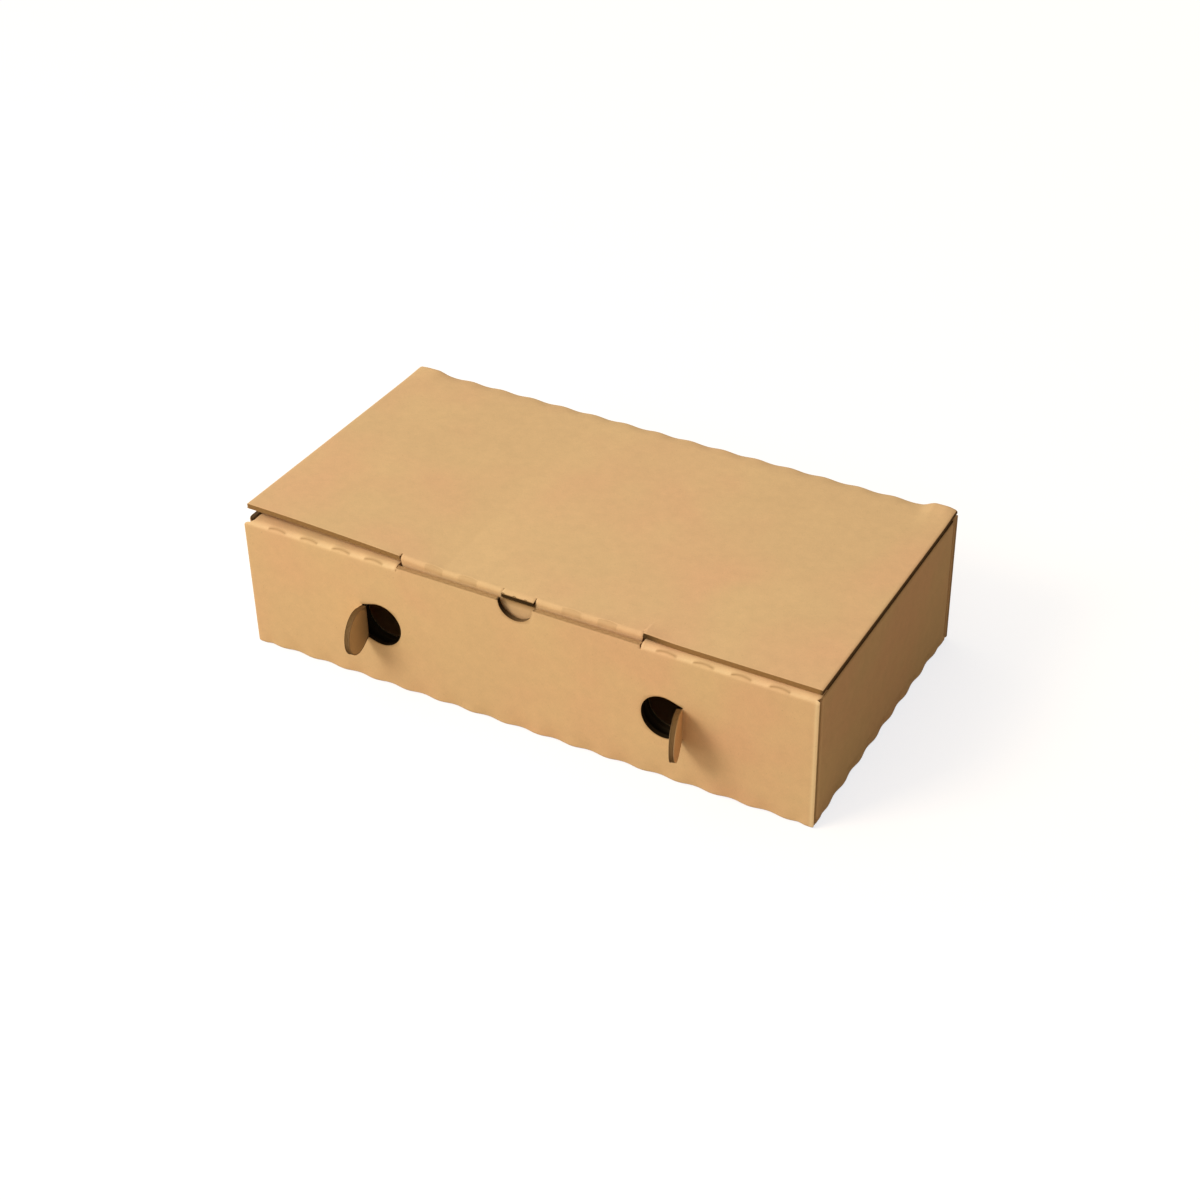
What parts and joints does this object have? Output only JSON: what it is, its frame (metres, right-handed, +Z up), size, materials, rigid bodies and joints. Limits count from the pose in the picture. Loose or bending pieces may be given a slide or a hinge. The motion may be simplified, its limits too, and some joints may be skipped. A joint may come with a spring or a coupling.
{
  "type": "pizza box",
  "caption": "Folded corrugated food box with a rolled front wall, a hinged lid with a tuck tab and thumb tongue, and round front vents with hinged discs.",
  "frame": {"origin": "middle of the underside of the base", "axes": "+X along the front wall to the right, +Y to the lid's hinge at the back, +Z up"},
  "size_m": [0.33, 0.1978, 0.0876],
  "materials": {
    "kraft_board": "unprinted brown kraft liner, matt"
  },
  "bodies": {
    "tray": {"tray": "kraft_board"},
    "lid": {"lid": "kraft_board"},
    "left_vent": {"left_vent_flap": "kraft_board"},
    "right_vent": {"right_vent_flap": "kraft_board"}
  },
  "joints": [
    {"name": "lid_hinge", "type": "hinge", "parent": "tray", "child": "lid", "pos_m": [0, 0.0875, 0.07985], "axis": [-1, 0, 0], "range_deg": [0, 175]},
    {"name": "left_vent_hinge", "type": "hinge", "parent": "tray", "child": "left_vent", "pos_m": [-0.0936, -0.0875, 0.0389], "axis": [0, 0, -1], "range_deg": [-82, 68]},
    {"name": "right_vent_hinge", "type": "hinge", "parent": "tray", "child": "right_vent", "pos_m": [0.0936, -0.0875, 0.0389], "axis": [0, 0, 1], "range_deg": [-107, 43]}
  ]
}
